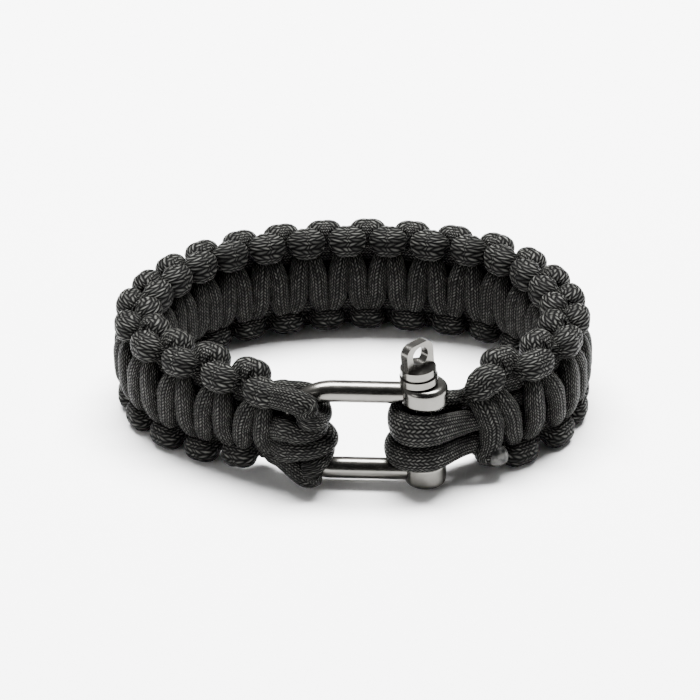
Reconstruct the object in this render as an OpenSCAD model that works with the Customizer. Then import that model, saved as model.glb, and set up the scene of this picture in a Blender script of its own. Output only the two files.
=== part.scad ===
// Paracord bracelet in a cobra weave, closed with a steel D shackle and a screw pin.
// It lies on its side, so the band stands on its edge. +Z is up, +Y is the back of the loop.
// The origin is under the middle of the bracelet, on the surface that it lies on.

/* [Loop of the band] */
// Width of the band's middle line, left to right
loop_w = 80.2; // [70:0.1:90]
// Depth of the band's middle line, from the pin to the back
loop_d = 58.4; // [50:0.1:66]
// How far the front leans to the left at the top, in degrees
front_lean = 3; // [0:0.5:5]
// Distance from the outside of the shackle's bow to the band's end
bow_to_band = 0.1; // [0:0.1:2]
// Distance from the middle of the pin to the band's other end
pin_to_band = 8; // [7.5:0.1:12]

/* [Weave] */
// Height of the band from edge to edge
band_h = 22; // [20:0.1:25]
// Thickness of the band over the bars of cord on both faces
band_t = 9.6; // [8.5:0.1:10.5]
// Length of one full knot along the middle line, two bars of cord
knot_l = 7.9; // [7:0.1:8.8]
// How much looser the last knots before the pin are, as a share of the band's length
end_slack = 0.015; // [0:0.005:0.03]
// How much tighter the knots of the first half are than those of the second, as a share of the band's length
first_tight = 0.006; // [0:0.001:0.01]
// Reach of the band's end at the bow above its middle, as a share of the full one
bow_end_top = 0.84; // [0.75:0.01:1]
// Reach of the band's end at the bow below its middle, as a share of the full one
bow_end_low = 0.66; // [0.6:0.01:1]
// Reach of the band's end at the pin above its middle, as a share of the full one
pin_end_top = 0.35; // [0.3:0.01:1]
// Reach of the band's end at the pin below its middle, as a share of the full one
pin_end_low = 0.76; // [0.65:0.01:1]
// Depth of the groove between two bars
groove = 1.0; // [0.5:0.1:1.3]
// How far a loop of cord at the edge stands out over the notch beside it
edge_rise = 2.2; // [1.2:0.1:2.6]
// Distance of the edge loops from the middle of the thickness
edge_off = 1.8; // [1.4:0.1:2.2]

/* [Cord] */
// Diameter of the cord
cord_d = 4; // [3.6:0.1:4.2]
// Space that separate pieces of cord and steel keep
cord_gap = 0.15; // [0.1:0.05:0.3]
// Height between the two loops of cord round the pin
pin_loop_step = 4.7; // [4.5:0.1:5]
// How far the loops of cord lie below the middle of the pin
pin_loop_drop = 0.55; // [0:0.05:0.6]
// Looseness of the cords in front of the pin and behind it
loop_slack = 0.8; // [0.2:0.1:1]
// Looseness of the upper cord at the left of the pin
upper_loop_slack = 0.6; // [0.2:0.1:1.8]
// Looseness of the lower cord at the left of the pin
lower_loop_slack = 1.6; // [0.2:0.1:1.8]
// Width of the cord where the pin presses it flat
flat_w = 4.5; // [4:0.1:4.7]
// Thickness of the cord where the pin presses it flat
flat_t = 3.4; // [2.8:0.1:4]

/* [Shackle] */
// Diameter of the shackle's bar
bar_d = 4; // [3.6:0.1:4.4]
// Width between the two bars
inside_w = 12; // [11:0.1:12.5]
// Length from the pin to the inside of the bow
inside_l = 20; // [18:0.1:24]
// Diameter of the upper eye
upper_eye_d = 8.5; // [8:0.1:10]
// Height of the upper eye along the pin
upper_eye_h = 4.4; // [4.2:0.1:5]
// How far the middle of the upper eye lies past the pin
upper_eye_past = 0.8; // [0:0.1:1]
// Diameter of the lower eye
lower_eye_d = 7.6; // [7.2:0.1:9]
// Height of the lower eye along the pin
lower_eye_h = 5; // [4.4:0.1:5.4]
// Turn of the shackle seen from above, in degrees
shackle_turn = 2.5; // [0:0.5:6]

/* [Screw pin] */
// Diameter of the pin
pin_d = 4; // [3.6:0.1:4.2]
// Radial running clearance of the pin in the eyes
pin_play = 0.05; // [0.02:0.01:0.1]
// Lean of the pin to the left at the top, in degrees
pin_lean = 4; // [0:0.5:5]
// Diameter of the collar
collar_d = 6.9; // [6.4:0.1:7.6]
// Height of the collar
collar_h = 3; // [2.4:0.1:3.4]
// Width of the groove round the collar
collar_groove = 0.5; // [0.3:0.1:0.8]
// Width of the flat tab
tab_w = 6.2; // [5.4:0.1:7]
// Thickness of the flat tab
tab_t = 1.8; // [1.6:0.1:2.4]
// Height of the tab over the collar
tab_h = 4.9; // [4.6:0.1:6]
// Diameter of the hole through the tab
tab_hole_d = 3.6; // [3:0.1:4]
// Turn of the tab about the pin, in degrees
tab_turn = 44; // [0:1:90]

/* [Hidden] */

half_w = loop_w / 2;
half_d = loop_d / 2;
mid_z = band_h / 2;
// Where the middle line's own middle lies, so that the whole bracelet is centred on the origin
mid_x = 0.011 * half_w;
mid_y = 0.031 * half_d;
// How far right of the middle the pin stands
pin_right = 0.3 * half_w;
// Middle line of the band as shares of half the width and half the depth, left end first
PLAN = [[-0.58, -0.745], [-0.86, -0.475], [-0.99, -0.18], [-0.99, 0.11], [-0.875, 0.44], [-0.67, 0.735],
        [-0.36, 0.92], [0.03, 1.00], [0.36, 0.94], [0.65, 0.80], [0.85, 0.50], [0.965, 0.12],
        [0.97, -0.16], [0.885, -0.475], [0.71, -0.70]];
// Its two ends, which keep their distance from the shackle, and a share of half the depth
BOW_END = [pin_right - pin_d / 2 - inside_l - bar_d - bow_to_band, -0.92 * half_d];
PIN_END = [pin_right + pin_to_band, -0.84 * half_d];
SPAN_STEPS = 12;
// Distance on both sides of a point over which the line's direction is taken
AIM_L = 1.2;
CORD_COLOR = [0.13, 0.13, 0.13];
STEEL_COLOR = [0.78, 0.78, 0.76];

// Point of a smooth curve through b and c
function between(a, b, c, d, t) =
    0.5 * (2 * b + (c - a) * t + (2 * a - 5 * b + 4 * c - d) * t * t + (3 * b - a - 3 * c + d) * t * t * t);
KNOT_PTS = concat([BOW_END], [for (p = PLAN) [p.x * half_w, p.y * half_d]], [PIN_END]);
spans = len(KNOT_PTS) - 1;
PLAN_PTS = concat([2 * BOW_END - KNOT_PTS[1]], KNOT_PTS, [2 * PIN_END - KNOT_PTS[spans - 1]]);
LINE = concat([for (i = [1 : spans], k = [0 : SPAN_STEPS - 1])
                   between(PLAN_PTS[i - 1], PLAN_PTS[i], PLAN_PTS[i + 1], PLAN_PTS[i + 2], k / SPAN_STEPS)],
              [PIN_END]);
function line_step(i) = i + 1 < len(LINE) ? norm(LINE[i + 1] - LINE[i]) : 0;
LINE_S = [for (i = 0, s = 0; i < len(LINE); s = s + line_step(i), i = i + 1) s];
LINE_X = [for (i = [0 : len(LINE) - 1]) [LINE_S[i], LINE[i].x]];
LINE_Y = [for (i = [0 : len(LINE) - 1]) [LINE_S[i], LINE[i].y]];
line_l = LINE_S[len(LINE) - 1];
knots = round(line_l / knot_l);
// Distance along the middle line after a number of knots
function station(k) =
    let (x = k / knots) line_l * (x + end_slack * (pow(x, 12) - x) - 4 * first_tight * x * (1 - x));

// Place of a point by its distance along the band, height from the middle and distance outwards
function line_at(s) = [lookup(s, LINE_X), lookup(s, LINE_Y)];
function unit(v) = v / norm(v);
function along_at(s) =
    let (a = min(max(s, AIM_L), line_l - AIM_L)) unit(line_at(a + AIM_L) - line_at(a - AIM_L));
function lean_at(y) = tan(front_lean) * (half_d - y) / loop_d;
function place(s, v, w) =
    let (p = line_at(s), t = along_at(s))
    [mid_x + p.x - t.y * w - lean_at(p.y) * v, mid_y + p.y + t.x * w, mid_z + v];

// Section of the weave
RINGS_PER_KNOT = 8;
rings = knots * RINGS_PER_KNOT;
// Knots over which the band reaches its full height at the bow and at the pin
BOW_TAPER = 2;
PIN_TAPER = 0.5;
function reach(k, bow_share, pin_share) = min(1, bow_share + (1 - bow_share) * k / BOW_TAPER,
                                             pin_share + (1 - pin_share) * (knots - k) / PIN_TAPER);
function level(k, v) =
    v * (v > 0 ? reach(k, bow_end_top, pin_end_top) : reach(k, bow_end_low, pin_end_low));
half_h = band_h / 2;
half_t = band_t / 2;
// Height of a bar over its grooves, 1 in the middle and 0 in the groove
function bar_share(k) = let (f = 2 * k - floor(2 * k) - 0.5) sqrt(max(0, 1 - 4 * f * f));
// Height of an edge loop, 1 in its middle and 0 where it dives; shift 0 centres the loops on half knots
function loop_share(k, shift) = let (x = k + shift, f = 2 * (x - floor(x)) - 1) sqrt(max(0, 1 - f * f));
function mix(a, b, t) = a + (b - a) * t;
// Corners of an edge, from the face to the edge. Columns: drop and reach in the notch, then on a loop.
// A drop is a share of half the height, and a reach a share of the way from the loops' middle to the face.
CORNERS = [[0.27, 0.63, 0.38, 0.90], [0.055, 0.20, 0.12, 0.63], [0, -0.27, 0, -0.07]];
function edge_pt(top, drop, reach_out) = [top - drop * half_h, edge_off + reach_out * (half_t - edge_off)];
function corner(e) =
    [for (c = CORNERS) mix(edge_pt(half_h - edge_rise, c[0], c[1]), edge_pt(half_h, c[2], c[3]), e)];
// Half the flat stretch of a face as a share of half the height, and the hollow along the edge between the
// loops of both faces as a share of their rise
FACE_END = 0.42;
HOLLOW_SHARE = 0.7;
function section(k) =
    let (over = corner(loop_share(k, 0)), under = corner(loop_share(k, 0.5)),
         f = half_t - groove * (1 - bar_share(k)), e = FACE_END * half_h,
         hollow = half_h - HOLLOW_SHARE * edge_rise)
    concat([[-e, f], [0, f], [e, f]], over,
           [[hollow, 0]], [for (i = [2 : -1 : 0]) [under[i].x, -under[i].y]],
           [[e, -f], [0, -f], [-e, -f]], [for (c = over) [-c.x, -c.y]],
           [[-hollow, 0]], [for (i = [2 : -1 : 0]) [-under[i].x, under[i].y]]);

// Closed skin over rings of points, each ring with the same number of points
function skin_faces(n, m) =
    concat([[for (j = [0 : m - 1]) j]], [[for (j = [m - 1 : -1 : 0]) (n - 1) * m + j]],
           [for (i = [0 : n - 2], j = [0 : m - 1]) let (a = i * m, b = a + m, k = (j + 1) % m)
                each [[a + j, b + j, a + k], [a + k, b + j, b + k]]]);
module skin(ring_list) {
    polyhedron([for (r = ring_list) each r], skin_faces(len(ring_list), len(ring_list[0])));
}

module woven_band() color(CORD_COLOR)
    skin([for (i = [0 : rings]) let (k = i / RINGS_PER_KNOT, s = station(k))
        [for (q = section(k)) place(s, level(k, q.x), q.y)]]);

// Shackle: its own frame has its bars along x, the bow at -x and the pin at x = 0 half way up
pin_x = mid_x + pin_right;
pin_y = mid_y - half_d;
bow_r = (inside_w + bar_d) / 2;
bow_c = -(pin_d / 2 + inside_l - inside_w / 2);
bar_z = bow_r;
function on_shackle(p) = [p.x * cos(shackle_turn) + p.y * sin(shackle_turn) + pin_x,
                          p.y * cos(shackle_turn) - p.x * sin(shackle_turn) + pin_y, p.z + mid_z];
function on_pin(p) = on_shackle([p.x * cos(pin_lean) - p.z * sin(pin_lean), p.y,
                                 p.x * sin(pin_lean) + p.z * cos(pin_lean)]);
module at_shackle() { translate([pin_x, pin_y, mid_z]) rotate([0, 0, -shackle_turn]) children(); }
module at_pin() { at_shackle() rotate([0, -pin_lean, 0]) children(); }

// Cord swept along rows of [point, width, thickness], the width along a reference direction
CORD_SIDES = 8;
function path_dir(rows, i) = unit(rows[min(i + 1, len(rows) - 1)][0] - rows[max(i - 1, 0)][0]);
function cord_ring(row, t, ref) =
    let (a = unit(ref - (ref * t) * t), b = cross(t, a))
    [for (j = [0 : CORD_SIDES - 1]) let (q = 360 * (j + 0.5) / CORD_SIDES)
        row[0] + a * cos(q) * row[1] / 2 + b * sin(q) * row[2] / 2];
module cord(rows, ref) {
    skin([for (i = [0 : len(rows) - 1]) cord_ring(rows[i], path_dir(rows, i), ref)]);
}
// Leg of a cord from one row to another: a short straight start, then a curve into the given direction. Its
// pull at the band and at the turn is a share of its length.
LEG_STEPS = 6;
LEG_PULL = 0.4;
TURN_PULL = 0.3;
LEG_START = 0.3;
function leg(start, a_dir, b, b_dir) =
    let (a = [start[0] + LEG_START * a_dir, start[1], start[2]], l = norm(b[0] - a[0]),
         c = a[0] + LEG_PULL * l * a_dir, d = b[0] - TURN_PULL * l * b_dir)
    concat([start], [for (i = [0 : LEG_STEPS - 1]) let (t = i / LEG_STEPS, u = 1 - t)
        [u * u * u * a[0] + 3 * t * u * u * c + 3 * t * t * u * d + t * t * t * b[0],
         mix(a[1], b[1], t), mix(a[2], b[2], t)]]);
function backwards(rows) = [for (i = [len(rows) - 1 : -1 : 0]) rows[i]];
WRAP_STEPS = 8;
// Space between a cord and the piece that it runs into or lies against inside the bow
end_gap = 2 * cord_gap;

// Cords round the bow, from top to bottom, each over the bar in front and back to the band inside it.
// Columns: angle round the bow in front and inside, height of the front leg and of the back leg, all in steps
// from the middle; then the cord's width at the band, its width in front, and its width and thickness inside
// the bow, as shares of its diameter.
BOW_CORDS = [[1.8, 0.97, 1.65, 1.4, 1.1, 1.25, 0.5, 1],
             [0.55, 0.21, 0.52, 0.5, 0.92, 0.92, 0.57, 1.2],
             [-0.5, -0.57, -0.45, -0.5, 0.92, 0.92, 0.57, 1.6],
             [-2.08, -1.18, -1.25, -1.5, 0.5, 1.2, 0.4, 0.7]];
front_step = 30;
inside_step = 25;
leg_step = cord_d + cord_gap;
// Thickness of a cord in front of the bar, as a share of its diameter
FRONT_T = 0.9;
// Angle round the bar over which a cord hugs it
BOW_BACK = 150;
// Legs between the band and the bow: their thickness, the back leg's width, and where they leave the band
leg_t = 0.75 * cord_d;
back_leg_w = 0.84 * cord_d;
leg_off = half_t - 0.4 * leg_t;
leg_up = 0.15 * cord_d;
function inward(angle) = [cos(angle), 0, -sin(angle)];
function to_shackle_dir(v) = on_shackle(v) - on_shackle([0, 0, 0]);
// Distance from the middle of the bow's bar to its inside, straight towards the pin
function bar_reach(angle) =
    bow_r * cos(angle) - sqrt(max(0, pow(bow_r - bar_d / 2, 2) - pow(bow_r * sin(angle), 2)));
// Row of a cord at an angle round the bar, 0 in front and 90 inside, where the cords bulge towards the pin
function bow_row(a, c) =
    let (angle = mix(c[0] * front_step, c[1] * inside_step, sin(a)), n = inward(angle),
         way = unit(mix(n, [1, 0, 0], sin(a))), t = cord_d * mix(FRONT_T, c[7], sin(a)),
         r = mix(bar_d / 2 + cord_gap, bar_reach(angle) + end_gap, sin(a)) + t / 2)
    [on_shackle([bow_c, 0, 0] - bow_r * n + r * (sin(a) * way - cos(a) * [0, 1, 0])),
     cord_d * mix(c[5], c[6], sin(a)), t];
function bow_rows(c) =
    let (wrap = [for (i = [0 : WRAP_STEPS]) bow_row(BOW_BACK * i / WRAP_STEPS, c)],
         out = -concat(along_at(0), [0]), in_dir = to_shackle_dir(inward(c[0] * front_step)),
         back_dir = unit(wrap[WRAP_STEPS][0] - wrap[WRAP_STEPS - 1][0]),
         start = [place(0, c[2] * leg_step + leg_up, leg_off) + end_gap * out, c[4] * cord_d, leg_t],
         end = [place(0, c[3] * leg_step + leg_up, -leg_off) + end_gap * out, back_leg_w, leg_t])
    concat(leg(start, out, wrap[0], in_dir), wrap,
           backwards(leg(end, out, wrap[WRAP_STEPS], -back_dir)));
module bow_cord(i) {
    color(CORD_COLOR) cord(bow_rows(BOW_CORDS[i]), to_shackle_dir([0, 0, 1]));
}
module bow_cord_top() bow_cord(0);
module bow_cord_upper() bow_cord(1);
module bow_cord_lower() bow_cord(2);
module bow_cord_bottom() bow_cord(3);

// Cords round the pin, whose legs come together in two layers at the band's end, where they become its core:
// the step between them, their size, and how far they lie below the middle and to both sides of it
core_step = 3.5;
core_w = cord_d;
core_t = 0.95 * cord_d;
core_down = 0.3 * cord_d;
core_off = (core_t + cord_gap) / 2;
// Columns: height at the pin in loop steps, and height of the front and the back leg in core steps, all from
// the middle; then the looseness at the left
PIN_CORDS = [[0.5, 0.5, 1.1, upper_loop_slack],
             [-0.5, -0.8, -1.5, lower_loop_slack]];
pin_turn_r = (pin_d + flat_t) / 2 + cord_gap;
function pin_row(a, slack, z) =
    [on_pin([-sin(a) * (pin_turn_r + slack), -cos(a) * (pin_turn_r + loop_slack), z]), flat_w, flat_t];
function to_pin_dir(v) = on_pin(v) - on_pin([0, 0, 0]);
function core_leg(out, v, w) = [place(line_l, v * core_step - core_down, w) + end_gap * out, core_w, core_t];
function pin_rows(c) =
    let (z = c[0] * pin_loop_step - pin_loop_drop,
         wrap = [for (i = [0 : WRAP_STEPS]) pin_row(180 * i / WRAP_STEPS, c[3], z)],
         out = concat(along_at(line_l), [0]), left = to_pin_dir([-1, 0, 0]))
    concat(leg(core_leg(out, c[1], core_off), out, wrap[0], left), wrap,
           backwards(leg(core_leg(out, c[2], -core_off), out, wrap[WRAP_STEPS], left)));
module pin_cord(i) {
    color(CORD_COLOR) cord(pin_rows(PIN_CORDS[i]), to_pin_dir([0, 0, 1]));
}
module pin_cord_upper() pin_cord(0);
module pin_cord_lower() pin_cord(1);

// Bars, bow and drilled eyes of the shackle
FINE = 48;
EYE_ROUND = 1.2;
module eye(d, h) {
    rotate_extrude($fn = FINE) difference() {
        translate([0, -h / 2]) square([d / 2, h]);
        for (s = [-1, 1]) translate([d / 2 - EYE_ROUND, s * (h / 2 - EYE_ROUND)]) difference() {
            translate([0, s > 0 ? 0 : -EYE_ROUND]) square(EYE_ROUND);
            circle(r = EYE_ROUND, $fn = FINE);
        }
    }
}
module shackle_body() color(STEEL_COLOR) difference() {
    at_shackle() {
        for (s = [-1, 1]) translate([bow_c, 0, s * bar_z]) rotate([0, 90, 0])
            cylinder(d = bar_d, h = -bow_c, $fn = FINE);
        translate([bar_z * -tan(pin_lean) + upper_eye_past, 0, bar_z]) eye(upper_eye_d, upper_eye_h);
        translate([bar_z * tan(pin_lean), 0, -bar_z]) eye(lower_eye_d, lower_eye_h);
        translate([bow_c, 0, 0]) rotate([90, 0, 0]) rotate([0, 0, 90])
            rotate_extrude(angle = 180, $fn = FINE) translate([bow_r, 0]) circle(d = bar_d, $fn = FINE);
    }
    at_pin() cylinder(d = pin_d + 2 * pin_play, h = 3 * bar_z, center = true, $fn = FINE);
}

// Shank, grooved collar and drilled tab of the screw pin: the gap under the collar, the tab's rounding,
// how deep the tab is rooted in the collar, and how far the groove and the upper rim stand back
SEAT_GAP = 0.05;
TAB_ROUND = 1.8;
TAB_ROOT = 0.4;
COLLAR_STEP = 0.4;
module tab_outline() {
    translate([-tab_w / 2 + COLLAR_STEP, -TAB_ROOT]) square([tab_w - 2 * COLLAR_STEP, 2 * TAB_ROOT]);
    translate([-tab_w / 2, 0]) square([tab_w, tab_h - TAB_ROUND]);
    translate([-tab_w / 2 + TAB_ROUND, 0]) square([tab_w - 2 * TAB_ROUND, tab_h]);
    for (s = [-1, 1]) translate([s * (tab_w / 2 - TAB_ROUND), tab_h - TAB_ROUND])
        circle(r = TAB_ROUND, $fn = FINE);
}
module shackle_pin() color(STEEL_COLOR) at_pin() {
    foot = -(bar_z + lower_eye_h / 2) / cos(pin_lean);
    seat = (bar_z + upper_eye_h / 2) / cos(pin_lean) + collar_d / 2 * tan(pin_lean) + SEAT_GAP;
    rim_h = (collar_h - collar_groove) / 2;
    translate([0, 0, foot]) cylinder(d = pin_d, h = seat + rim_h - foot, $fn = FINE);
    translate([0, 0, seat]) {
        cylinder(d = collar_d, h = rim_h, $fn = FINE);
        cylinder(d = collar_d - 2 * COLLAR_STEP, h = collar_h - rim_h / 2, $fn = FINE);
        translate([0, 0, collar_h - rim_h]) cylinder(d = collar_d - COLLAR_STEP, h = rim_h, $fn = FINE);
    }
    translate([0, 0, seat + collar_h]) rotate([0, 0, tab_turn]) rotate([90, 0, 0]) difference() {
        translate([0, 0, -tab_t / 2]) linear_extrude(tab_t) tab_outline();
        translate([0, tab_h / 2, 0]) cylinder(d = tab_hole_d, h = 2 * tab_t, center = true, $fn = FINE);
    }
}

woven_band();
bow_cord_top();
bow_cord_upper();
bow_cord_lower();
bow_cord_bottom();
pin_cord_upper();
pin_cord_lower();
shackle_body();
shackle_pin();
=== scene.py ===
import math

import bpy
import numpy as np
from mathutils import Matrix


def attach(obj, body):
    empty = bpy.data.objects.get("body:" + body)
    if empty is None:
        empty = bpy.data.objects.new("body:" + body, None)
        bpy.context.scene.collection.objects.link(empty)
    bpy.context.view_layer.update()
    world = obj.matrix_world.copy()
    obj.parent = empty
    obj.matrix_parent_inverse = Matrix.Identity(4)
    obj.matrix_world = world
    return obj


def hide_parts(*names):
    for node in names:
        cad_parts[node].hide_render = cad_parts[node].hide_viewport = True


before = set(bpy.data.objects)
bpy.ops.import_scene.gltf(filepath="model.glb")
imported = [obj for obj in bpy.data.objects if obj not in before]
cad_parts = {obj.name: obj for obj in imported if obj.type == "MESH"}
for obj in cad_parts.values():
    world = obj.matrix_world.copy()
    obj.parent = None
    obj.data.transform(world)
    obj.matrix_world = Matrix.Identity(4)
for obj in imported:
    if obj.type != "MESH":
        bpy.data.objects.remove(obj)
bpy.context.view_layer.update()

# The cord is black nylon parachute cord, 4 mm across. Its sheath is braided two over two from glossy yarns,
# so it shows columns of slanting stitches, each leaning against its neighbours. The base colour is the
# yarn's black, lightened to grey at each stitch's crown: a painted highlight for the glint of the yarn,
# of a strength that differs at random from stitch to stitch.
# Sizes are in millimetres, and MM is one of them in metres.
MM = 0.001
CORD_D = 4.0
STITCH_COLUMNS = 24
STITCH_L = 0.66
STITCH_SLANT = 0.9
STITCH_FALL = 5.0
YARN_DARK = (0.0012, 0.0012, 0.0012, 1)
# The grey of the painted highlight on each stitch's crown, and the share of it that the dullest stitch
# shows.
PAINTED_GLINT_GREY = (0.07, 0.0705, 0.065, 1)
DULLEST_PAINTED_GLINT = 0.25
YARN_RELIEF = 0.22
RELIEF_STRENGTH = 0.9
GAP_ROUGHNESS = 0.62
CROWN_GLOSS = 0.32
WEAR_ROUGHNESS = 0.1
WEAR_SCALE = 0.35
YARN_SPECULAR = 0.03


class Wire:
    """A socket of a material that can be reckoned with. Numbers and other wires may be mixed."""

    def __init__(self, tree, socket=None):
        self.tree = tree
        self.socket = socket

    def node(self, kind, settings=None, sockets=None, out=0):
        """Adds a node with its settings and its sockets' values or wires, and gives one of its outputs."""
        made = self.tree.nodes.new(kind)
        for name, value in (settings or {}).items():
            if name == "stops":
                for place, colour in value[2:]:
                    made.color_ramp.elements.new(place)
                for stop, (place, colour) in zip(made.color_ramp.elements, value):
                    stop.position = place
                    stop.color = colour
            else:
                setattr(made, name, value)
        for name, value in (sockets or {}).items():
            if isinstance(value, Wire):
                self.tree.links.new(value.socket, made.inputs[name])
            else:
                made.inputs[name].default_value = value
        return Wire(self.tree, made.outputs[out] if made.outputs else None)

    def maths(self, operation, *terms):
        return self.node("ShaderNodeMath", {"operation": operation}, dict(enumerate(terms)))

    def __add__(self, other):
        return self.maths("ADD", self, other)

    def __mul__(self, other):
        return self.maths("MULTIPLY", self, other)

    def __sub__(self, other):
        return self.maths("SUBTRACT", self, other)

    def __rsub__(self, other):
        return self.maths("SUBTRACT", other, self)

    def __truediv__(self, other):
        return self.maths("DIVIDE", self, other)

    __radd__ = __add__
    __rmul__ = __mul__

    def floored(self):
        return self.maths("FLOOR", self)

    def part(self, index):
        """One of the three parts of a vector."""
        return self.node("ShaderNodeSeparateXYZ", None, {0: self}, out=index)

    def mixed(self, first, second):
        """Colour between two colours, by this wire from 0 to 1."""
        return self.node("ShaderNodeMix", {"data_type": "RGBA"}, {0: self, 6: first, 7: second}, out=2)

    def noise(self, scale, detail):
        """Soft noise by place, where this wire is the place."""
        return self.node("ShaderNodeTexNoise", None, {"Vector": self, "Scale": scale, "Detail": detail})

    def bump(self, strength, distance):
        """Normal of a surface that this wire raises from 0 to 1."""
        sockets = {"Strength": strength, "Distance": distance, "Height": self}
        return self.node("ShaderNodeBump", None, sockets)

    def surface(self, sockets):
        shader = self.node("ShaderNodeBsdfPrincipled", None, sockets)
        self.node("ShaderNodeOutputMaterial", None, {"Surface": shader})


def new_finish(name):
    material = bpy.data.materials.new(name)
    material.use_nodes = True
    material.node_tree.nodes.clear()
    return material, Wire(material.node_tree)


black_cord, wire = new_finish("black_braided_nylon")
braid_map = wire.node("ShaderNodeUVMap", {"uv_map": "braid"})
around = braid_map.part(0) * STITCH_COLUMNS
along = braid_map.part(1) / STITCH_L
column = around.floored()
odd = column.maths("MODULO", column, 2)
across = around - column - 0.5
lengthwise = along + odd * 0.5 + (1 - 2 * odd) * across * STITCH_SLANT
row = lengthwise.floored()
down = lengthwise - row - 0.5
crown = 1 - across * across * STITCH_FALL - down * down * STITCH_FALL
stitch = crown.maths("SQRT", crown.maths("MAXIMUM", crown, 0.0))
cell = wire.node("ShaderNodeCombineXYZ", None, {0: column, 1: row})
chance = wire.node("ShaderNodeTexWhiteNoise", {"noise_dimensions": "2D"}, {"Vector": cell})
worn = braid_map.noise(WEAR_SCALE, detail=3.0)
# Painted highlight: the base colour turns from the yarn's black to grey towards each stitch's crown.
painted_glint = stitch * stitch * stitch * (DULLEST_PAINTED_GLINT + (1 - DULLEST_PAINTED_GLINT) * chance)
wire.surface({
    "Base Color": painted_glint.mixed(YARN_DARK, PAINTED_GLINT_GREY),
    "Roughness": GAP_ROUGHNESS - CROWN_GLOSS * stitch + WEAR_ROUGHNESS * worn,
    "Specular IOR Level": YARN_SPECULAR,
    "Normal": stitch.bump(RELIEF_STRENGTH, YARN_RELIEF * MM),
})


def unit(vectors):
    return vectors / np.linalg.norm(vectors, axis=-1, keepdims=True)


def running_length(points):
    """How far each point is along a line of points."""
    return np.concatenate([[0], np.cumsum(np.linalg.norm(np.diff(points, axis=0), axis=1))])


def smooth(rows, steps):
    """Rows of numbers on a cubic curve through the given rows, with so many steps from one to the next."""
    rows = np.asarray(rows, float)
    rows = np.vstack([2 * rows[0] - rows[1], rows, 2 * rows[-1] - rows[-2]])
    t = np.arange(steps)[:, None] / steps
    spans = []
    for a, b, c, d in zip(rows, rows[1:], rows[2:], rows[3:]):
        spans.append(0.5 * (2 * b + (c - a) * t + (2 * a - 5 * b + 4 * c - d) * t**2
                            + (3 * b - a - 3 * c + d) * t**3))
    return np.vstack(spans + [rows[-2:-1]])


def cord_mesh(name, points, faces, finish):
    """A piece from points in millimetres, which rides on the band and the shackle."""
    mesh = bpy.data.meshes.new(name)
    mesh.from_pydata((np.asarray(points) * MM).tolist(), [], faces)
    mesh.polygons.foreach_set("use_smooth", [True] * len(mesh.polygons))
    mesh.materials.append(finish)
    mesh.update()
    piece = bpy.data.objects.new(name, mesh)
    bpy.context.collection.objects.link(piece)
    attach(piece, "band_and_shackle")
    return piece


def swept_rings(line, facings, widths, thicknesses, sides, squareness):
    """Rings of a cord along its middle line: width across, thickness along the facing direction."""
    ahead = unit(np.gradient(line, axis=0))
    facings = unit(facings - (facings * ahead).sum(1, keepdims=True) * ahead)
    sideways = np.cross(facings, ahead)
    angle = 2 * np.pi * (np.arange(sides) + 0.5) / sides
    out_x = np.sign(np.cos(angle)) * np.abs(np.cos(angle)) ** (2 / squareness)
    out_y = np.sign(np.sin(angle)) * np.abs(np.sin(angle)) ** (2 / squareness)
    return (line[:, None] + sideways[:, None] * (out_x * widths[:, None] / 2)[..., None]
            + facings[:, None] * (out_y * thicknesses[:, None] / 2)[..., None])


def cord_piece(name, routes, sides=16, squareness=2.6, finish=black_cord):
    """One piece from cords, each a tuple of points, facings, widths and thicknesses along its middle line.

    The map "braid" gives each place as a share of the way round the cord and a distance along it.
    """
    points, faces, braid = [], [], []
    for line, facings, widths, thicknesses in routes:
        start, last = sum(len(rings) for rings in points), len(line) - 1
        points.append(swept_rings(line, facings, widths, thicknesses, sides, squareness).reshape(-1, 3))
        length = running_length(line)
        for i in range(last):
            here, there = length[i], length[i + 1]
            for j in range(sides):
                k = (j + 1) % sides
                a, b = start + i * sides, start + (i + 1) * sides
                faces.append((a + j, a + k, b + k, b + j))
                left, right = j / sides, (j + 1) / sides
                braid += [(left, here), (right, here), (right, there), (left, there)]
        for first, order in ((start, -1), (start + last * sides, 1)):
            faces.append(tuple(range(first, first + sides))[::order])
            braid += [(0.5, 0.0)] * sides
    piece = cord_mesh(name, np.vstack(points), faces, finish)
    braid_layer = piece.data.uv_layers.new(name="braid")
    braid_layer.uv.foreach_set("vector", np.array(braid, np.float32).ravel())
    return piece


# The band is one loop of knotted cord, worked flat and then bent round the wrist. Its middle line runs from
# the shackle's bow round the left end, the back and the right end to the pin. Its front leans a little to
# the left at the top.
LOOP_W = 80.2
LOOP_D = 58.4
FRONT_LEAN = math.radians(3)
BAND_H = 22.0
KNOTS = 23
BAR_D = 4.0
PIN_D = 4.0
INSIDE_L = 20.0
CORD_GAP = 0.1
# The line's two ends, left and right of the pin, and its points between them in halves of the loop's width
# and depth.
PIN_RIGHT = 0.3 * LOOP_W / 2
PIN_TO_BAND = 8.0
BOW_END = (PIN_RIGHT - PIN_D / 2 - INSIDE_L - BAR_D - CORD_GAP, -0.92 * LOOP_D / 2)
PIN_END = (PIN_RIGHT + PIN_TO_BAND, -0.84 * LOOP_D / 2)
PLAN = [(-0.58, -0.745), (-0.86, -0.475), (-0.99, -0.18), (-0.99, 0.11), (-0.875, 0.44), (-0.67, 0.735),
        (-0.36, 0.92), (0.03, 1.00), (0.36, 0.94), (0.65, 0.80), (0.85, 0.50), (0.965, 0.12),
        (0.97, -0.16), (0.885, -0.475), (0.71, -0.70)]
PLAN_STEPS = 24
STATION_STEPS = 12
OFF_CENTRE = (0.011, 0.031)
MIDDLE = np.array([OFF_CENTRE[0] * LOOP_W / 2, OFF_CENTRE[1] * LOOP_D / 2, BAND_H / 2])
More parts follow.
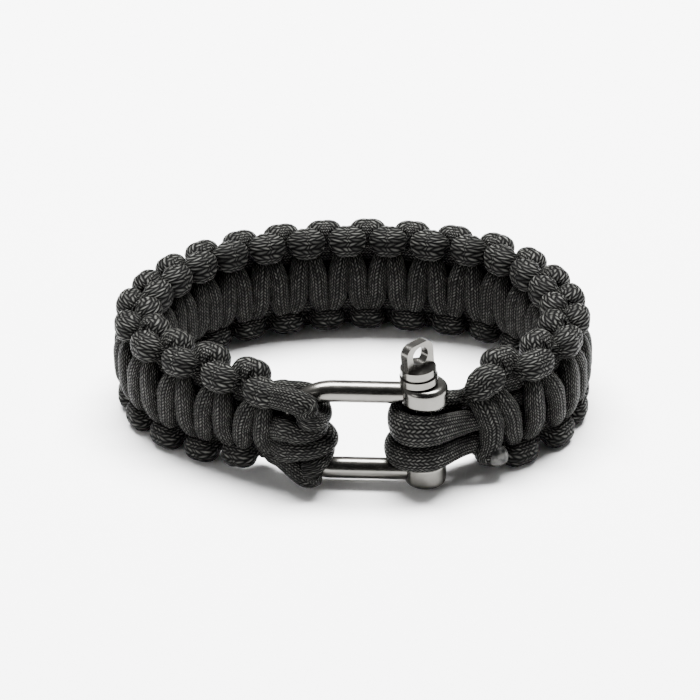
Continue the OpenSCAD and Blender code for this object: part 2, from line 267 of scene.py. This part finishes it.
LINE = smooth(np.vstack([BOW_END, np.array(PLAN) * [LOOP_W / 2, LOOP_D / 2], PIN_END]), PLAN_STEPS)
LINE_S = running_length(LINE)
LINE_L = LINE_S[-1]
AIM_L = 1.2
# The band is lower at its two ends: what is left there of its lower and its upper half, and over how many
# knots it comes to its full height.
BOW_END_HALVES = (0.66, 0.84)
PIN_END_HALVES = (0.76, 0.35)
BOW_TAPER = 2
PIN_TAPER = 0.5
# The weave's upper edge runs on past both ends, by a share of its height that fades out over some knots.
END_SLANT = 0.23
SLANTED_KNOTS = 3
# Some knots and how far each is along the middle line, because not all were pulled equally tight.
STATIONS = smooth([(0, -0.8), (2.5, 19.4), (5.5, 42.2), (8.5, 64.2), (11.5, 88.1), (14.5, 112.8),
                   (17.5, 136.8), (20.5, 158.9), (KNOTS, LINE_L)], STATION_STEPS)


def mix(a, b, share):
    return a + (b - a) * share


def line_at(s):
    """Points by distance along the middle line, which goes straight on past its ends."""
    past = (s - np.clip(s, 0, LINE_L))[..., None]
    end_way = np.where(past < 0, unit(LINE[1] - LINE[0]), unit(LINE[-1] - LINE[-2]))
    on_line = np.stack([np.interp(s, LINE_S, LINE[:, 0]), np.interp(s, LINE_S, LINE[:, 1])], -1)
    return on_line + past * end_way


def along_at(s):
    """Direction of the middle line, taken over a short length before and behind."""
    s = np.clip(s, AIM_L, LINE_L - AIM_L)
    return unit(line_at(s + AIM_L) - line_at(s - AIM_L))


def outwards_at(s):
    ahead = along_at(s)
    return np.stack([-ahead[..., 1], ahead[..., 0], np.zeros(len(ahead))], -1)


def level(knot, v):
    """Height in the band, drawn in towards the middle near both ends."""
    at_bow, at_pin = (np.where(v > 0, upper, lower) for lower, upper in (BOW_END_HALVES, PIN_END_HALVES))
    reach = np.minimum(mix(at_bow, 1, knot / BOW_TAPER), mix(at_pin, 1, (KNOTS - knot) / PIN_TAPER))
    return v * np.minimum(1, reach)


def band_place(s, v, w):
    """Points by distance along the band, height from its middle and distance outwards."""
    p, out = line_at(s), outwards_at(s)
    lean = math.tan(FRONT_LEAN) * (LOOP_D / 2 - p[..., 1]) / LOOP_D
    flat = np.stack([p[..., 0] - lean * v, p[..., 1], v], -1)
    return MIDDLE + flat + out * np.asarray(w)[..., None]


def band_route(rows, steps):
    """A cord in the band, from rows of knot, height, outwards, facing outwards and up, width, thickness."""
    knot, v, w, face_out, face_up, width, thickness = smooth(rows, steps).T
    from_end = np.maximum(0, 1 - knot / SLANTED_KNOTS) - np.maximum(0, 1 - (KNOTS - knot) / SLANTED_KNOTS)
    station = np.interp(np.clip(knot, 0, KNOTS), STATIONS[:, 0], STATIONS[:, 1])
    s = station - END_SLANT * np.maximum(0, v) * from_end
    facing = outwards_at(s) * face_out[:, None] + np.array([0, 0, 1]) * face_up[:, None]
    return band_place(s, level(knot, v), w), facing, width, thickness


# Two working strands are knotted round the core. The outer one makes the bars on the outside, the inner one
# those on the inside, and where each turns at an edge it shows as a loop on the other side, over two bars.
# Columns, for half a turn from the middle of a bar to the edge: steps of one bar towards the next bar,
# height, distance outwards, facing outwards and towards the edge, width and thickness of the cord.
HALF_TURN = [(0.00, 0.0, 3.25, 1, 0, 3.9, 3.1),
             (-0.03, 2.2, 3.2, 1, 0, 3.9, 3.1),
             (-0.14, 4.3, 2.6, 1, 0.2, 3.4, 3.1),
             (-0.24, 5.8, 1.3, 0.8, 0.6, 2.8, 3.0),
             (-0.10, 7.2, -0.2, 0.2, 1, 2.6, 3.8)]
# The loops' height, distance outwards, width and thickness, by the strand's side and the edge.
LOOPS = {(1, 1): (8.4, 2.0, 5.6, 5.6),
         (1, -1): (7.8, 1.7, 5.0, 5.0),
         (-1, 1): (8.1, 1.8, 5.2, 5.2),
         (-1, -1): (8.3, 1.8, 5.2, 5.3)}
# From the edge to the middle of the loop: steps towards the next bar, how much lower the cord is than the
# loop, the share of the loop's distance outwards, and how much narrower and thinner it is than the loop.
LOOP_SIDE = [(0.04, 0.5, 0.55, 1.6, 1.2),
             (0.22, 0, 0.95, 0, 0),
             (0.50, 0, 1, 0, 0)]
BARS = 2 * KNOTS
TURN_STEPS = 5
# The outer strand's last two rows are left out, and the closing wrap covers its end.
UNDER_THE_WRAP = -2


def turn_row(bar, row, step, edge, side):
    """A row of the half turn at one bar, towards the bar before or after it, at one edge, on one side."""
    ahead, v, w, face_out, face_edge, width, thickness = row
    knot = (bar - 0.5 + step * ahead) / 2
    return knot, edge * v, side * w, side * face_out, edge * face_edge, width, thickness


def strand_rows(side):
    """Rows of a working strand through all bars; side is 1 for the outer strand, -1 for the inner."""
    rows = [turn_row(1, row, -1, side, side) for row in HALF_TURN[3:0:-1]]
    for bar in range(1, BARS):
        edge = side if bar % 2 == 0 else -side
        v, w, width, thickness = LOOPS[side, edge]
        turn = HALF_TURN + [(ahead, v - lower, -share * w, 0, 1, width - narrower, thickness - thinner)
                            for ahead, lower, share, narrower, thinner in LOOP_SIDE]
        rows += [turn_row(bar, row, 1, edge, side) for row in turn]
        rows += [turn_row(bar + 1, row, -1, edge, side) for row in turn[-2:0:-1]]
    return rows


outer_strand = cord_piece("outer_working_strand", [band_route(strand_rows(1)[:UNDER_THE_WRAP], TURN_STEPS)])
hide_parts("woven_band")
last_bar = [turn_row(BARS, row, 1, -1, -1) for row in HALF_TURN[:4]]
inner_strand = cord_piece("inner_working_strand", [band_route(strand_rows(-1) + last_bar, TURN_STEPS)])
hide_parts("woven_band")

# The weave is closed by one last wrap of cord on the outside, tucked in under the last loop at the top. At
# the bottom it turns back against the weave, where it was cut and melted into a smooth grey blob.
# Columns: knot, height, distance outwards, facing outwards and up, width and thickness.
CLOSING_WRAP = [(22.72, 7.4, 0.6, 0.6, 0.8, 3.6, 3.2),
                (22.68, 5.4, 2.9, 1, 0.3, 4.4, 3.3),
                (22.66, 2.5, 3.6, 1, 0, 4.7, 3.4),
                (22.66, -1.0, 3.8, 1, 0, 4.7, 3.4),
                (22.70, -4.0, 3.8, 1, 0, 4.4, 3.5),
                (22.80, -6.2, 3.6, 1, -0.2, 3.8, 3.6),
                (22.82, -7.2, 3.6, 1, -0.3, 3.6, 3.6),
                (22.70, -7.2, 3.9, 1, -0.3, 3.8, 3.5),
                (22.58, -6.9, 4.1, 1, -0.2, 3.8, 3.4)]
WRAP_ROW_STEPS = 6
closing_wrap = cord_piece("closing_wrap", [band_route(CLOSING_WRAP, WRAP_ROW_STEPS)])
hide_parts("woven_band")

# The melted end is a rounded blob of the cord's own nylon, which ran together into a smooth grey skin with
# sooty patches. Columns as for the closing wrap.
MELTED_END = [(22.74, -6.9, 4.1, 1, -0.2, 3.0, 2.8),
              (22.67, -6.8, 4.3, 1, -0.2, 3.9, 3.6),
              (22.57, -6.6, 4.4, 1, -0.1, 4.1, 3.7),
              (22.48, -6.4, 4.3, 1, 0, 3.6, 3.3),
              (22.42, -6.3, 4.2, 1, 0, 2.2, 2.0),
              (22.40, -6.2, 4.2, 1, 0, 0.4, 0.4)]
MELTED_ROW_STEPS = 5
SOOT_SCALE = 700.0
SOOT_TO_SKIN = [(0.4, (0.004, 0.004, 0.004, 1)), (0.62, (0.05, 0.05, 0.047, 1))]
SKIN_ROUGHNESS = 0.25
SOOT_ROUGHNESS = 0.2
SKIN_SPECULAR = 0.15
SKIN_RELIEF = 0.4
SKIN_STRENGTH = 0.5

melted_nylon, wire = new_finish("melted_grey_nylon")
soot = wire.node("ShaderNodeTexCoord", out=3).noise(SOOT_SCALE, detail=3.0)
wire.surface({
    "Base Color": wire.node("ShaderNodeValToRGB", {"stops": SOOT_TO_SKIN}, {0: soot}),
    "Roughness": SKIN_ROUGHNESS + SOOT_ROUGHNESS * soot,
    "Specular IOR Level": SKIN_SPECULAR,
    "Normal": soot.bump(SKIN_STRENGTH, SKIN_RELIEF * MM),
})
melted_end = cord_piece("melted_end", [band_route(MELTED_END, MELTED_ROW_STEPS)], sides=24, squareness=2.0,
                        finish=melted_nylon)
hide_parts("woven_band")

# Four core strands of the same cord run straight through the knots, side by side across the band, and fill
# it. They run on into the loops round the pin.
CORE_STEP = 3.6
CORE_T = 3.3
CORE_FROM_END = 0.1
core_routes = []
for place in (-1.5, -0.5, 0.5, 1.5):
    core_rows = [(knot, place * CORE_STEP, 0, 1, 0, CORE_STEP, CORE_T)
                 for knot in np.linspace(CORE_FROM_END, KNOTS - CORE_FROM_END, 4 * KNOTS)]
    core_routes.append(band_route(core_rows, 1))
core = cord_piece("core_strands", core_routes, sides=12)
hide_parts("woven_band")

# Four turns of cord hold the band to the shackle's bow. Each comes from inside the band's end, passes over
# the bow in front, goes round it and back inside. Columns: angle round the bow in front and inside, height
# of the front leg and of the back leg, all in steps from the middle; then, in diameters of the cord, its
# width at the band and in front, and its width and thickness inside the bow.
BOW_TURNS = {"top": (1.8, 0.97, 1.65, 1.4, 1.1, 1.35, 0.7, 1.15),
             "upper": (0.5, 0.21, 0.05, 0.5, 1.25, 1.15, 0.9, 1.2),
             "lower": (-0.55, -0.57, -0.8, -0.5, 1.15, 1.1, 0.9, 1.6),
             "bottom": (-2.05, -1.25, -1.35, -1.5, 0.9, 1.25, 0.7, 1.1)}
FRONT_STEP = math.radians(30)
INSIDE_STEP = math.radians(25)
FRONT_T = 0.9 * CORD_D
BOW_BACK = math.radians(150)
BOW_TURN_STEPS = 8
LOOP_ROW_STEPS = 3
LEG_T = 0.75 * CORD_D
BACK_LEG_W = 0.84 * CORD_D
LEG_OFF = 2.4
LEG_UP = 0.15 * CORD_D
ROOT_L = 4.0
# Where a leg starts inside the band: distance along it, share of the leg's height, and distance outwards.
LEG_ROOTS = [(ROOT_L, 0.8, 0.4), (ROOT_L / 2, 0.9, 1.2)]
LEG_LEAVES = 0.4
LEG_ARRIVES = 0.3
LEG_ROWS = 7
# The shackle's own frame: its bars along x, the bow at the left, and the leaning pin through the origin.
PIN_AT = np.array([MIDDLE[0] + PIN_RIGHT, MIDDLE[1] - LOOP_D / 2, BAND_H / 2])
SHACKLE_TURN = math.radians(2.5)
PIN_LEAN = math.radians(4)
INSIDE_W = 12.0
BOW_R = (INSIDE_W + BAR_D) / 2
BOW_C = np.array([-(PIN_D / 2 + INSIDE_L - INSIDE_W / 2), 0, 0])
SHACKLE_AXES = np.array([[math.cos(SHACKLE_TURN), -math.sin(SHACKLE_TURN), 0],
                         [math.sin(SHACKLE_TURN), math.cos(SHACKLE_TURN), 0], [0, 0, 1]])
PIN_AXES = np.array([[math.cos(PIN_LEAN), 0, math.sin(PIN_LEAN)], [0, 1, 0],
                     [-math.sin(PIN_LEAN), 0, math.cos(PIN_LEAN)]]) @ SHACKLE_AXES
RIGHT, BACK, UP = np.eye(3)


def band_row(s, v, w, width, thickness):
    """Row of point, width and thickness by distance along the band, height and distance outwards."""
    point = band_place(np.array([s]), np.array([v]), np.array([w]))[0]
    return np.concatenate([point, [width, thickness]])


def leg_rows(start, start_way, end, end_way):
    """Rows of point, width and thickness on a smooth leg from one row to another, without the last one."""
    length = np.linalg.norm(end[:3] - start[:3])
    leave = start[:3] + LEG_LEAVES * length * start_way
    arrive = end[:3] - LEG_ARRIVES * length * end_way
    rows = []
    for t in np.arange(LEG_ROWS) / LEG_ROWS:
        u = 1 - t
        point = u**3 * start[:3] + 3 * t * u**2 * leave + 3 * t**2 * u * arrive + t**3 * end[:3]
        rows.append(np.concatenate([point, u * start[3:] + t * end[3:]]))
    return rows


def looped_cord(name, rows, reference):
    """A cord from rows of point, width and thickness, its width turned towards a reference direction."""
    line = smooth(rows, LOOP_ROW_STEPS)
    points, widths, thicknesses = line[:, :3], line[:, 3], line[:, 4]
    facings = np.cross(unit(np.gradient(points, axis=0)), reference)
    return cord_piece(name, [(points, facings, widths, thicknesses)], sides=20, squareness=2.15)


def bow_inward(angle):
    return np.array([math.cos(angle), 0, -math.sin(angle)])


def bow_row(around_bar, front, inner, front_w, inside_w, inside_t):
    """Row of a cord at an angle round the bow's bar, 0 in front and a right angle inside."""
    inside = math.sin(around_bar)
    angle = mix(front, inner, inside)
    inner_edge = math.sqrt(max(0, (BOW_R - BAR_D / 2)**2 - (BOW_R * math.sin(angle))**2))
    bar_reach = BOW_R * math.cos(angle) - inner_edge
    way = unit(mix(bow_inward(angle), RIGHT, inside))
    thickness = mix(FRONT_T, inside_t, inside)
    radius = mix(BAR_D / 2 + CORD_GAP, bar_reach + 2 * CORD_GAP, inside) + thickness / 2
    point = BOW_C - BOW_R * bow_inward(angle) + radius * (inside * way - math.cos(around_bar) * BACK)
    return np.concatenate([PIN_AT + point @ SHACKLE_AXES, [mix(front_w, inside_w, inside), thickness]])


def bow_leg(height_steps, side, width, turn_end, way):
    """Rows of a leg from inside the band to one end of a turn; side is 1 in front and -1 at the back."""
    v = height_steps * (CORD_D + CORD_GAP) + LEG_UP
    root = [band_row(s, share * v, side * w, CORE_STEP, LEG_T) for s, share, w in LEG_ROOTS]
    band_end_way = np.append(-along_at(np.array([0.0]))[0], 0)
    return root + leg_rows(band_row(0, v, side * LEG_OFF, width, LEG_T), band_end_way, turn_end, way)


for place, (front_steps, inside_steps, front_leg_steps, back_leg_steps, *shares) in BOW_TURNS.items():
    band_w, front_w, inside_w, inside_t = np.array(shares) * CORD_D
    front, inner = front_steps * FRONT_STEP, inside_steps * INSIDE_STEP
    turn = [bow_row(BOW_BACK * i / BOW_TURN_STEPS, front, inner, front_w, inside_w, inside_t)
            for i in range(BOW_TURN_STEPS + 1)]
    front_leg = bow_leg(front_leg_steps, 1, band_w, turn[0], bow_inward(front) @ SHACKLE_AXES)
    back_leg = bow_leg(back_leg_steps, -1, BACK_LEG_W, turn[-1], unit(turn[-2][:3] - turn[-1][:3]))
    bow_turn = looped_cord("bow_turn_" + place, front_leg + turn + back_leg[::-1], UP)
    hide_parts("bow_cord_" + place)

# The other end of the core makes two loops, through which the screw pin passes, and which it presses flat.
# Their four legs come together at the band's end and become its core. Columns: height at the pin in loop
# steps, height of the front and the back leg in leg steps, the looseness at the left, and the width there.
PIN_LOOPS = {"upper": (0.7, 0.5, 1.1, 0.6, 6.4), "lower": (-0.54, -0.8, -1.5, 1.6, 5.1)}
LOOP_STEP = 4.7
LOOP_DROP = 0.55
LOOP_SLACK = 0.8
FLAT_T = 3.5
PIN_TURN_R = (PIN_D + FLAT_T) / 2 + CORD_GAP
PIN_TURN_ROWS = 13
LEG_STEP = 3.5
LEG_DOWN = 0.3 * CORD_D
LEG_SIZE = (1.05 * CORD_D, 0.95 * CORD_D)
LEG_IN = (LEG_SIZE[1] + CORD_GAP) / 2


def pin_leg(height_steps, w, turn_end):
    """Rows of a leg from inside the band to one end of a turn round the pin."""
    v = height_steps * LEG_STEP - LEG_DOWN
    root = [band_row(LINE_L - ROOT_L, v, w / 2, *LEG_SIZE), band_row(LINE_L - ROOT_L / 2, v, w, *LEG_SIZE)]
    band_end_way = np.append(along_at(np.array([LINE_L]))[0], 0)
    return root + leg_rows(band_row(LINE_L, v, w, *LEG_SIZE), band_end_way, turn_end, -RIGHT @ PIN_AXES)


for place, (loop_steps, front_steps, back_steps, slack, flat_w) in PIN_LOOPS.items():
    turn = []
    for angle in np.linspace(0, np.pi, PIN_TURN_ROWS):
        point = (-math.sin(angle) * (PIN_TURN_R + slack) * RIGHT
                 - math.cos(angle) * (PIN_TURN_R + LOOP_SLACK) * BACK
                 + (loop_steps * LOOP_STEP - LOOP_DROP) * UP)
        turn.append(np.concatenate([PIN_AT + point @ PIN_AXES, [flat_w, FLAT_T]]))
    legs = pin_leg(front_steps, LEG_IN, turn[0]), pin_leg(back_steps, -LEG_IN, turn[-1])
    pin_loop = looped_cord("pin_loop_" + place, legs[0] + turn + legs[1][::-1], UP @ PIN_AXES)
    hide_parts("pin_cord_" + place)

# The shackle and its screw pin are forged stainless steel, tumbled bright. The pin's shank runs through
# both eyes and the cord loops. Both keep their CAD solids and get their finish here.
STEEL_LIGHT = (0.14, 0.136, 0.125, 1)
STEEL_DULL = (0.08, 0.078, 0.072, 1)
CLOUD_SCALE = 420.0
GRAIN_SCALE = 2600.0
STEEL_ROUGHNESS = 0.16
CLOUD_ROUGHNESS = 0.14
GRAIN_RELIEF = 0.05
GRAIN_STRENGTH = 0.12

bright_steel, wire = new_finish("bright_stainless_steel")
position = wire.node("ShaderNodeTexCoord", out=3)
cloud = position.noise(CLOUD_SCALE, detail=4.0)
grain = position.noise(GRAIN_SCALE, detail=2.0)
wire.surface({
    "Base Color": cloud.mixed(STEEL_DULL, STEEL_LIGHT),
    "Metallic": 1.0,
    "Roughness": STEEL_ROUGHNESS + CLOUD_ROUGHNESS * cloud,
    "Normal": grain.bump(GRAIN_STRENGTH, GRAIN_RELIEF * MM),
})
for name in ("shackle_body", "shackle_pin"):
    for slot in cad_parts[name].material_slots:
        slot.link = "OBJECT"
        slot.material = bright_steel

# The bracelet lies on a plain white table with a dull surface, which is only there to carry it.
FLOOR = 3.0
TABLE_WHITE = (0.95, 0.95, 0.95, 1)

white_table, wire = new_finish("white_table")
wire.surface({"Base Color": TABLE_WHITE, "Roughness": 0.9})
floor_mesh = bpy.data.meshes.new("floor")
floor_mesh.from_pydata([(-FLOOR, -FLOOR, 0), (FLOOR, -FLOOR, 0), (FLOOR, FLOOR, 0), (-FLOOR, FLOOR, 0)], [],
                       [(0, 1, 2, 3)])
floor_mesh.materials.append(white_table)
floor = bpy.data.objects.new("floor", floor_mesh)
bpy.context.collection.objects.link(floor)

# The light is soft: a wide box above and a little behind, a much weaker one at the left front, and a bright
# room with one darker side in front, which the steel mirrors.
DARK_SIDE_UP = math.radians(22)
BRIGHT_TO_DARK = [(0.25, (1, 1, 1, 1)), (0.75, (0.14, 0.14, 0.14, 1))]
ROOM_STRENGTH = 0.45


def softbox(name, place, size, power):
    """A rectangular lamp at a place in metres that shines at the bracelet."""
    data = bpy.data.lights.new(name, "AREA")
    data.shape = "RECTANGLE"
    data.size, data.size_y = size
    data.energy = power
    lamp = bpy.data.objects.new(name, data)
    lamp.location = place
    x, y, z = place
    lamp.rotation_euler = (math.acos(z / math.hypot(x, y, z)), 0, math.atan2(-y, -x) - math.pi / 2)
    bpy.context.collection.objects.link(lamp)


softbox("overhead", (0.0, 0.25, 0.9), (0.9, 0.4), 84)
softbox("left_front", (-0.8, -0.7, 0.5), (0.5, 0.4), 3)
world = bpy.data.worlds.new("room")
world.use_nodes = True
world.node_tree.nodes.clear()
room = Wire(world.node_tree)
outlook = room.node("ShaderNodeTexCoord")
to_dark_side = outlook.part(2) * math.sin(DARK_SIDE_UP) - outlook.part(1) * math.cos(DARK_SIDE_UP)
shade = room.node("ShaderNodeValToRGB", {"stops": BRIGHT_TO_DARK}, {0: to_dark_side})
sky = room.node("ShaderNodeBackground", None, {"Color": shade, "Strength": ROOM_STRENGTH})
room.node("ShaderNodeOutputWorld", None, {"Surface": sky})
bpy.context.scene.world = world

# The bracelet is seen from the front, 30 degrees above the table, through a long lens 700 mm away. The lens
# looks at a point just behind the middle of the loop, and the frame is shifted a little so that this point
# stands right of and above the picture's centre, as it does in the photograph.
LOOK_AT = np.array([0.44, 2.205, 11.0])
DISTANCE = 700
ELEVATION = math.radians(30)
PIXELS_PER_MM = 5.35
FRAME_PX = 700
LOOK_AT_PX = (355.7, 346.5)
SENSOR_W = 36

camera_data = bpy.data.cameras.new("camera")
camera_data.sensor_width = SENSOR_W
camera_data.lens = PIXELS_PER_MM * DISTANCE / FRAME_PX * SENSOR_W
camera_data.shift_x = (FRAME_PX / 2 - LOOK_AT_PX[0]) / FRAME_PX
camera_data.shift_y = (LOOK_AT_PX[1] - FRAME_PX / 2) / FRAME_PX
camera = bpy.data.objects.new("camera", camera_data)
camera.location = (LOOK_AT + DISTANCE * np.array([0, -math.cos(ELEVATION), math.sin(ELEVATION)])) * MM
camera.rotation_euler = (math.pi / 2 - ELEVATION, 0, 0)
bpy.context.collection.objects.link(camera)
bpy.context.scene.camera = camera
